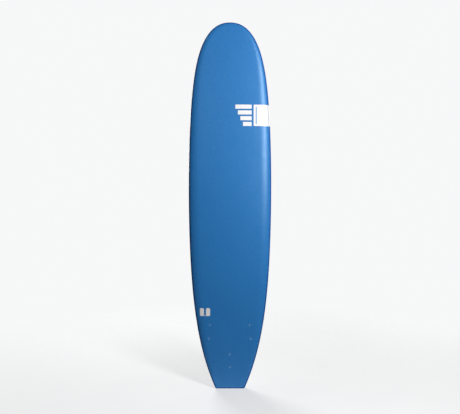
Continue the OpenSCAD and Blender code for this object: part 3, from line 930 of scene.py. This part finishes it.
def build_slick():
    """The hard plastic sheet of the bottom."""
    outer = past_seam(STRIP, [(0, 0.95), (0, 0.45), (0.06, 0.25), (0.2, 0.1), (0.45, 0),
                              (1.2, 0), (2.6, 0), (4.6, 0), (8, 0)])
    inner = past_seam(STRIP, [(0.05, 0.98), (8, 0.98)])
    slick = sheet("slick_sheet_fine", "bottom", inner, outer, wavy="lower")
    holes = fixing_cutters(SLEEVE_RADIUS + FIXING_CLEAR, low=-8, high=8)
    holes.append(grip_cutter(GRIP_WIDTH + 0.4, GRIP_LENGTH + 0.4, GRIP_CORNER + 0.2, low=-8))
    cut(slick, holes)

    def wear(p):
        d = outline_distance(p)
        return (np.clip(1 - (d - 24 * MM) / (10 * MM), 0, 1) * 0.7
                + 0.4 * np.clip(1 - p[:, 2] / 0.09, 0, 1))

    replace_cad(slick, "slick", wear)


# ---------------------------------------------------------------------------
# Carry grip: flange with rounded edges, a raised bead and a deep drafted well
# ---------------------------------------------------------------------------
def grip_loops():
    """Rounded rectangles as (width, length, corner radius, height) in mm."""
    well = (WELL_WIDTH, WELL_LENGTH, WELL_CORNER)
    flange = (GRIP_WIDTH, GRIP_LENGTH, GRIP_CORNER)
    # Underside, from the middle of the well's floor outwards, then the flange's edge
    loops = [(8, 60, 3.9, -33.9), (26, 94, 6, -33.9), (31.5, 99.5, 7, -33.4),
             (34, 103, 8.6, -31.0), (*well, -26), (*well, -12), (*well, -1.0),
             (40, 109, 9.5, -1.0), (52, 118, 9.8, -1.0), (61.4, 123.4, 9.9, -1.0),
             (*flange, -0.7), (*flange, 0.2)]
    quarter = [math.radians(22.5 * k) for k in range(1, 5)]
    for a in quarter:
        c = 1 - math.cos(a)
        loops.append((GRIP_WIDTH - 1.6 * c, GRIP_LENGTH - 1.6 * c, GRIP_CORNER - 0.8 * c,
                      0.2 + 0.8 * math.sin(a)))
    loops += [(56, 118, 9.2, 1.02), (46, 110.5, 9.1, 1.02), (40.4, 107.4, 10.2, 1.02)]
    # The bead round the mouth
    for k in range(1, 12):
        a = math.pi * k / 12
        c = math.cos(a)
        loops.append((36.6 + 3.4 * c, 104.4 + 2.8 * c, 9.4 + 0.9 * c, 1.02 + 0.9 * math.sin(a)))
    # Down the well, round its foot and in to the middle of the floor
    loops += [(32.4, 100.9, 8.3, 0.9), (31.4, 100.2, 7.4, 0.3), (31.0, 100.0, 7.0, -1.0),
              (30.6, 99.6, 6.8, -8), (30.1, 99.1, 6.5, -18), (29.7, 98.7, 6.2, -27.0)]
    for a in quarter:
        c = 1 - math.cos(a)
        loops.append((29.7 - 8 * c, 98.7 - 8 * c, 6.2 - 2.4 * c, -27 - 4.9 * math.sin(a)))
    return loops + [(12, 82, 3.6, -31.9), (4, 70, 1.9, -31.9)]


def build_grip():
    rings = [[(x, y, height * MM) for x, y in rounded_rect(*size, steps=12)]
             for *size, height in grip_loops()]
    count = len(rings[0])
    faces = []
    for k in range(len(rings) - 1):
        a, b = k * count, (k + 1) * count
        for i in range(count):
            j = (i + 1) % count
            faces.append((a + i, a + j, b + j, b + i))
    faces.append(tuple(range(count))[::-1])
    faces.append(tuple(range((len(rings) - 1) * count, len(rings) * count)))

    def wear(p):
        height = (p[:, 1] - float(bottom_y(GRIP_Z))) / MM
        return np.clip((height - 0.9) / 0.9, 0, 1)

    verts = [point for ring in rings for point in ring]
    grip = new_mesh("handle_cup_fine", place(verts, GRIP_MATRIX), faces, crease_deg=50)
    replace_cad(grip, "grip_plastic", wear)


def build_fixing(name, fixing):
    """A fin sleeve in the bottom, and the ferrule that meets it from the deck."""
    side, end = name.split("_")
    matrix = fixing_matrix(fixing)
    deck = -through(fixing) / MM
    top = deck + FERRULE_THICK + 0.1              # just under the ferrule's flange
    outer = SLEEVE_RADIUS
    sleeve = [(BORE + 0.45, 0.02), (BORE, -0.5), (BORE, top + 13.1), (COUNTERBORE, top + 13.1),
              (COUNTERBORE, top + 0.3), (COUNTERBORE + 0.3, top), (outer - 0.2, top),
              (outer, top + 0.3), (outer, -0.5), (outer - 0.12, -0.15), (outer - 0.5, 0.02),
              (BORE + 0.9, 0.05)]
    ob = lathe(f"{side}_fin_sleeve_{end}_fine", sleeve, matrix)
    replace_cad(ob, "sleeve_plastic", wear=0.4)

    flange, thickness = FERRULE_RADIUS, FERRULE_THICK
    # Heights from the deck into the board
    ferrule = [(BORE, 2.0), (BORE, 14.6), (SPIGOT - 0.3, 14.6), (SPIGOT, 14.3),
               (SPIGOT, thickness), (flange - 0.1, thickness), (flange, thickness - 0.1),
               (flange, 0.35), (flange - 0.14, 0.10), (flange - 0.45, -0.06), (6.6, -0.12),
               (6.1, -0.06), (5.75, 0.12), (5.5, 0.3)]
    ob = lathe(f"{side}_deck_ferrule_{end}_fine", [(r, deck + z) for r, z in ferrule], matrix)
    replace_cad(ob, "ferrule_plastic", wear=0.5)


build_deck()
build_rail()
build_bottom_foam()
build_slick()
build_grip()
for fixing_name, fixing_place in FIXINGS.items():
    build_fixing(fixing_name, fixing_place)

# ---------------------------------------------------------------------------
# Printed graphics: thin closed films that follow the skins, all of plain shapes
# ---------------------------------------------------------------------------
FILM_LIFT, FILM_SINK = 0.22 * MM, 0.4 * MM


def on_deck(x, z, lift):
    """Points of the deck over plan positions x, z, lifted along the normal."""
    x, z = np.asarray(x, float), np.asarray(z, float)
    station_z = z.copy()
    for _ in range(10):
        edge_x, edge_z, in_x, in_z, square = side_station(station_z).T
        inset = (edge_x - np.abs(x)) / np.maximum(-in_x, 0.05)
        station_z = z - np.minimum(inset, roll_reach("deck", edge_z, square)) * in_z
    edge_x, edge_z, in_x, in_z, square = side_station(station_z).T
    reach, flat = roll_reach("deck", edge_z, square), flat_rail(edge_z, square)
    inset = np.clip((edge_x - np.abs(x)) / np.maximum(-in_x, 0.05), 0.05 * MM, None)
    rise = roll_rise("deck", x, z, flat)
    y = (rail_y(z) - flat - rise * roll("deck", inset / reach)
         - unevenness("deck", x, z) * fade("deck", inset, z))
    slope = roll_slope("deck", inset / reach) * rise / reach
    normal = np.stack([np.where(x < 0, -1.0, 1.0) * slope, -np.ones_like(slope),
                       np.zeros_like(slope)], -1)
    normal /= np.linalg.norm(normal, axis=1)[:, None]
    return np.stack([x, y, z], -1) + normal * lift


def on_bottom(x, z, lift):
    x, z = np.asarray(x, float), np.asarray(z, float)
    return np.stack([x, bottom_y(z) + unevenness("bottom", x, z) + lift, z], -1)


def film(name, outlines, surf, material, step=(8 * MM, 12 * MM), lift=FILM_LIFT,
         sink=FILM_SINK):
    """A closed film over plan outlines of (x, z). A tuple is an outline and its hole."""
    bm = bmesh.new()
    for outline in outlines:
        if isinstance(outline, tuple):
            a, b = [[bm.verts.new((x, 0, z)) for x, z in ring] for ring in outline]
            for i in range(len(a)):
                j = (i + 1) % len(a)
                bm.faces.new([a[i], a[j], b[j], b[i]])
        else:
            bm.faces.new([bm.verts.new((x, 0, z)) for x, z in outline])
    # Cut into a grid, so that the film can bend with the skin
    for axis, size in ((0, step[0]), (2, step[1])):
        low = min(v.co[axis] for v in bm.verts)
        high = max(v.co[axis] for v in bm.verts)
        cuts = int((high - low) / size)
        for i in range(1, cuts + 1):
            point, normal = [0, 0, 0], [0, 0, 0]
            point[axis] = low + (high - low) * i / (cuts + 1)
            normal[axis] = 1
            bmesh.ops.bisect_plane(bm, geom=bm.verts[:] + bm.edges[:] + bm.faces[:],
                                   plane_co=point, plane_no=normal, dist=1e-7)
    bmesh.ops.triangulate(bm, faces=[f for f in bm.faces if len(f.verts) > 4])
    bm.verts.ensure_lookup_table()
    bm.verts.index_update()
    plan = np.array([(v.co.x, v.co.z) for v in bm.verts])
    count = len(plan)
    top, base = [surf(plan[:, 0], plan[:, 1], height) for height in (lift, -sink)]
    faces = [tuple(v.index for v in f.verts) for f in bm.faces]
    walls = []
    for edge in bm.edges:
        if len(edge.link_faces) == 1:
            around = [v.index for v in edge.link_faces[0].verts]
            a, b = edge.verts[0].index, edge.verts[1].index
            if around[(around.index(a) + 1) % len(around)] != b:
                a, b = b, a
            walls.append((b, a, count + a, count + b))
    bm.free()
    faces += [tuple(count + i for i in f[::-1]) for f in faces] + walls
    dress(new_mesh(name, np.concatenate([top, base]), faces, crease_deg=40), material)


def arc(cx, cz, radius, angles):
    """Points on an arc. Lengths are in mm, angles in degrees."""
    return [((cx + radius * math.cos(math.radians(a))) * MM,
             (cz + radius * math.sin(math.radians(a))) * MM) for a in angles]


def box(x0, z0, x1, z1, r):
    """A rounded box outline, from sizes in mm."""
    points = []
    for cx, cz, start in ((x1 - r, z0 + r, -90), (x1 - r, z1 - r, 0),
                          (x0 + r, z1 - r, 90), (x0 + r, z0 + r, 180)):
        points += arc(cx, cz, r, [start + 90 * k / 6 for k in range(7)])
    return points


def framed(x0, z0, x1, z1, r, width):
    return (box(x0, z0, x1, z1, r),
            box(x0 + width, z0 + width, x1 - width, z1 - width, r - width))


def diamond(cx, cz, half_x, half_z):
    return [(x * MM, z * MM) for x, z in ((cx, cz - half_z), (cx + half_x, cz),
                                          (cx, cz + half_z), (cx - half_x, cz))]


# A white block on the deck that runs off the right rail, with stepped bars beside it (mm)
BLOCK_X, BLOCK_Z0, BLOCK_Z1, BLOCK_CORNER = 168, 1871, 2021, 4
block_stations = side_station(np.linspace(BLOCK_Z0 * MM, BLOCK_Z1 * MM, 25))


def block_outline():
    seam_x = block_stations[:, 0] + (DECK_SEAM + 1.5 * MM) * block_stations[:, 2]
    corner_x = BLOCK_X + BLOCK_CORNER
    ring = [(corner_x * MM, BLOCK_Z0 * MM)]
    ring += [(float(x), float(z)) for x, z in zip(seam_x, block_stations[:, 1])]
    ring += arc(corner_x, BLOCK_Z1 - BLOCK_CORNER, BLOCK_CORNER, range(90, 181, 15))
    # The last point of this arc is the ring's first
    ring += arc(corner_x, BLOCK_Z0 + BLOCK_CORNER, BLOCK_CORNER, range(180, 270, 15))
    return ring


def bar_outlines(right=154, height=28.5):
    pitch = (BLOCK_Z1 - BLOCK_Z0 - height) / 3
    bars = []
    for k in range(4):
        z0 = BLOCK_Z0 + pitch * k
        bars.append(box(right - (62 + 18 * k), z0, right, z0 + height, 3))
    return bars


def rail_block():
    """The same block where it turns over the rail strip."""
    spans = [("deck", (DECK_SEAM - 1.6 * MM) * (k / 14) ** 1.9) for k in range(14, -1, -1)]
    spans += [("bottom", 5.5 * MM * (k / 8) ** 1.7) for k in range(9)]
    top, base = [np.stack([skin_points(side, block_stations, inset, depth)
                           for side, inset in spans], 1) for depth in (-FILM_LIFT, FILM_SINK)]
    rows, cols = top.shape[:2]
    count = rows * cols
    faces = []
    for i in range(rows - 1):
        for j in range(cols - 1):
            a = i * cols + j
            b = count + a
            faces.append((a, a + 1, a + cols + 1, a + cols))
            faces.append((b, b + cols, b + cols + 1, b + 1))
    border = list(range(cols))
    border += [i * cols + cols - 1 for i in range(1, rows)]
    border += [(rows - 1) * cols + j for j in range(cols - 2, -1, -1)]
    border += [i * cols for i in range(rows - 2, 0, -1)]
    for a, b in zip(border, border[1:] + border[:1]):
        faces.append((a, count + a, count + b, b))
    verts = np.concatenate([top.reshape(-1, 3), base.reshape(-1, 3)])
    dress(new_mesh("rail_print_block", verts, faces, crease_deg=40), "ink_white")


film("deck_print_block", [block_outline()], on_deck, "ink_white", step=(2.5 * MM, 8 * MM))
film("deck_print_bars", bar_outlines(), on_deck, "ink_white")
film("deck_print_line", [box(183, BLOCK_Z0 + 14, 190, BLOCK_Z1 - 14, 2.9)], on_deck,
     "ink_blue", lift=0.34 * MM, sink=-0.05 * MM)
rail_block()

# Size mark on the deck, as plain blocks in place of figures
film("deck_print_marks", [box(-215, 518, -186, 574, 8), box(-182, 518, -175, 525, 2.5),
                          box(-171, 518, -142, 574, 8)],
     on_deck, "ink_white", step=(3 * MM, 8 * MM))

# Bottom: a plain frame holding four diamonds, and a smaller group of marks near the tail
FRAME_X0, FRAME_X1, FRAME_Z0, FRAME_Z1 = -46, 57, 1957, 2330
film("bottom_print_frame", [framed(FRAME_X0, FRAME_Z0, FRAME_X1, FRAME_Z1, 10, 9)],
     on_bottom, "ink_dark")
film("bottom_print_diamonds", [diamond((FRAME_X0 + FRAME_X1) / 2, FRAME_Z0 + 62 + 81 * k, 25, 28)
                               for k in range(4)], on_bottom, "ink_dark")
film("bottom_print_marks", [box(13, 490, 44, 546, 7), box(3, 490, 10, 497, 3),
                            box(-32, 490, -1, 546, 7)], on_bottom, "ink_dark")
film("bottom_print_box", [framed(-30, 416, 41.5, 482, 8, 5.5), diamond(5.75, 449, 12, 14)],
     on_bottom, "ink_dark")
film("bottom_print_line", [box(-32, 403, 41, 409, 2.5)], on_bottom, "ink_dark")

# ---------------------------------------------------------------------------
# Stage, light and camera
# ---------------------------------------------------------------------------
BACKDROP = (0.93, 0.935, 0.94, 1)


def build_floor(radii=(0.3, 0.7, 1.2, 1.8, 2.6, 3.6, 5.0, 7.0), seg=72):
    bm = bmesh.new()
    inner = None
    centre = bm.verts.new((0, 0, 0))
    for r in radii:
        ring = [bm.verts.new((r * math.cos(2 * math.pi * i / seg),
                              r * math.sin(2 * math.pi * i / seg), 0)) for i in range(seg)]
        for i in range(seg):
            j = (i + 1) % seg
            if inner is None:
                bm.faces.new((centre, ring[i], ring[j]))
            else:
                bm.faces.new((inner[i], ring[i], ring[j], inner[j]))
        inner = ring
    mesh = bpy.data.meshes.new("floor")
    bm.to_mesh(mesh)
    bm.free()
    floor = bpy.data.objects.new("floor", mesh)
    floor.location = (0, 0, cad_lo.z - 0.0008)
    bpy.context.scene.collection.objects.link(floor)
    mesh.materials.append(floor_paint())


def floor_paint():
    s = Shader("floor_paint")
    camera_ray = s.node("LightPath").outputs["Is Camera Ray"]
    tone = s.blend(s.remap(s.noise(scale=3, detail=3)),
                   (0.46, 0.46, 0.46, 1), (0.44, 0.44, 0.443, 1))
    position = s.node("NewGeometry").outputs["Position"]
    distance = s.node("VectorMath", {0: position}, operation="LENGTH").outputs["Value"]
    # Light thrown up near the board, unseen by the camera
    glow = s.times(s.math("SUBTRACT", 1.0, camera_ray),
                   by=s.remap(distance, span=(0.1, 0.7), to=(0.50, 0.0)))
    s.finish(Base_Color=s.blend(camera_ray, (0.25, 0.25, 0.25, 1), tone), Roughness=0.75,
             Specular_IOR_Level=0.15, Emission_Color=BACKDROP,
             Emission_Strength=s.plus(s.times(camera_ray, by=0.52), add=glow))
    # The floor fades into the pale background a few metres out, so that no horizon shows
    faded = s.remap(distance, span=(0.7, 3.0))
    clear = s.node("BsdfTransparent").outputs[0]
    mixed = s.node("MixShader", {0: faded, 1: s.surface.outputs[0], 2: clear})
    s.tree.links.new(mixed.outputs[0], s.output.inputs[0])
    return s.material


def build_world():
    """A pale backdrop for the camera, and a faint cool light for everything else."""
    world = bpy.data.worlds.new("studio")
    bpy.context.scene.world = world
    world.use_nodes = True
    tree = world.node_tree
    tree.nodes.clear()
    output = add_node(tree, "OutputWorld")
    seen = add_node(tree, "Background", {"Color": BACKDROP, "Strength": 1.0})
    lit = add_node(tree, "Background", {"Color": (0.92, 0.95, 1.0, 1), "Strength": 0.07})
    path = add_node(tree, "LightPath")
    mixed = add_node(tree, "MixShader", {0: path.outputs["Is Camera Ray"],
                                         1: lit.outputs[0], 2: seen.outputs[0]})
    tree.links.new(mixed.outputs[0], output.inputs[0])


def area(name, at, aim, width, height, watts):
    light = bpy.data.lights.new(name, "AREA")
    light.shape = "RECTANGLE"
    light.size = width
    light.size_y = height
    light.energy = watts
    ob = bpy.data.objects.new(name, light)
    ob.location = at
    ob.rotation_mode = "QUATERNION"
    ob.rotation_quaternion = (Vector(aim) - Vector(at)).to_track_quat("-Z", "Y")
    ob.visible_camera = False
    bpy.context.scene.collection.objects.link(ob)


def build_camera(distance=3.4, fill=0.875, aspect=10 / 9, sensor=36):
    """Looks square at the deck. fill is the board's share of the view's height."""
    middle = (cad_lo + cad_hi) / 2
    camera = bpy.data.cameras.new("camera")
    ob = bpy.data.objects.new("camera", camera)
    bpy.context.scene.collection.objects.link(ob)
    bpy.context.scene.camera = ob
    view_width = LENGTH / fill * aspect
    camera.sensor_width = sensor
    camera.lens = sensor / (view_width / distance)
    camera.clip_start = 0.05
    camera.clip_end = 60
    ob.location = (0, middle.y - distance, middle.z)
    ob.rotation_mode = "QUATERNION"
    ob.rotation_quaternion = Vector((0, 1, 0)).to_track_quat("-Z", "Y")


build_floor()
build_world()
area("right_strip", at=(1.44, -2.05, 2.24), aim=(0.2, 0, 1.76), width=0.56, height=1.30,
     watts=74)
area("front_soft", at=(-0.7, -2.6, 2.4), aim=(0, 0, 1.6), width=1.4, height=1.0, watts=5)
area("back_soft", at=(-1.5, 3.2, 2.6), aim=(0, 0, 1.4), width=2.1, height=1.8, watts=132)
area("back_strip", at=(2.5, 2.45, 0.75), aim=(0, 0, 1.6), width=1.3, height=0.85, watts=16)
build_camera()
bpy.context.scene.view_settings.view_transform = "Standard"
bpy.context.scene.view_settings.look = "None"
